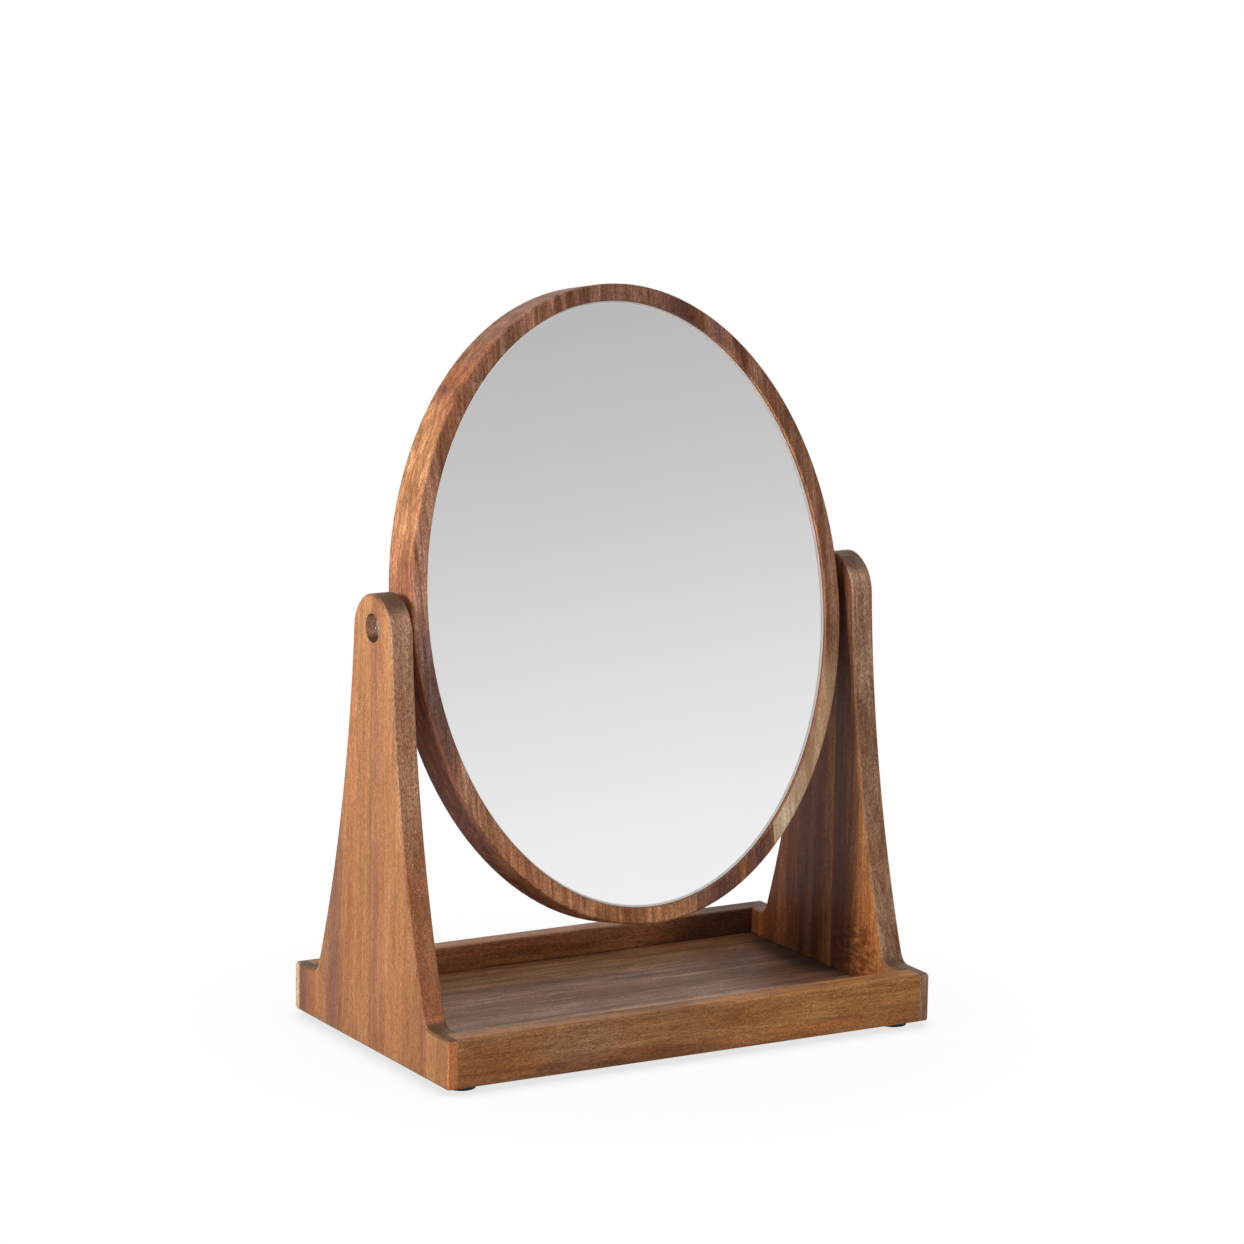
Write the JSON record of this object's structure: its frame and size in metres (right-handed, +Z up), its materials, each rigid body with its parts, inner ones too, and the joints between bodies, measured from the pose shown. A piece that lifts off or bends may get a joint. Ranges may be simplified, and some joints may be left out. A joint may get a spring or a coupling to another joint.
{
  "type": "tilting tabletop mirror with tray",
  "caption": "Oval wooden tabletop mirror that turns on side pivots between two flared uprights, over an open rectangular tray on low feet.",
  "frame": {"origin": "on the surface the mirror stands on, under the middle of the tray", "axes": "+Z up, +X to the right along the tray seen from the front, -Y towards the user who looks into the mirror"},
  "size_m": [0.25, 0.149, 0.3385],
  "materials": {
    "panel_wood": "oiled acacia, satin",
    "rail_wood": "oiled acacia, satin",
    "floor_wood": "oiled acacia, satin",
    "frame_wood": "oiled acacia, satin",
    "dowel_wood": "plain beech",
    "mirror_glass": "silvered float glass",
    "adhesive": "cured mirror adhesive",
    "screw_steel": "zinc plated",
    "washer_steel": "zinc plated",
    "spacer_plastic": "black nylon",
    "insert_brass": "turned brass",
    "foot_rubber": "black rubber"
  },
  "bodies": {
    "base": {"left_side_panel": "panel_wood", "right_side_panel": "panel_wood", "front_rail": "rail_wood", "back_rail": "rail_wood", "tray_floor": "floor_wood", "rail_dowels": "dowel_wood", "front_left_foot": "foot_rubber", "front_right_foot": "foot_rubber", "back_left_foot": "foot_rubber", "back_right_foot": "foot_rubber", "left_head_washer": "washer_steel", "right_head_washer": "washer_steel"},
    "mirror": {"mirror_frame": "frame_wood", "mirror_glass": "mirror_glass", "mirror_adhesive": "adhesive", "left_pivot_screw": "screw_steel", "right_pivot_screw": "screw_steel", "left_pivot_spacer": "spacer_plastic", "right_pivot_spacer": "spacer_plastic", "left_threaded_insert": "insert_brass", "right_threaded_insert": "insert_brass"}
  },
  "joints": [
    {"name": "mirror_tilt", "type": "hinge", "parent": "base", "child": "mirror", "pos_m": [0, 0, 0.1945], "axis": [1, 0, 0], "continuous": true}
  ]
}
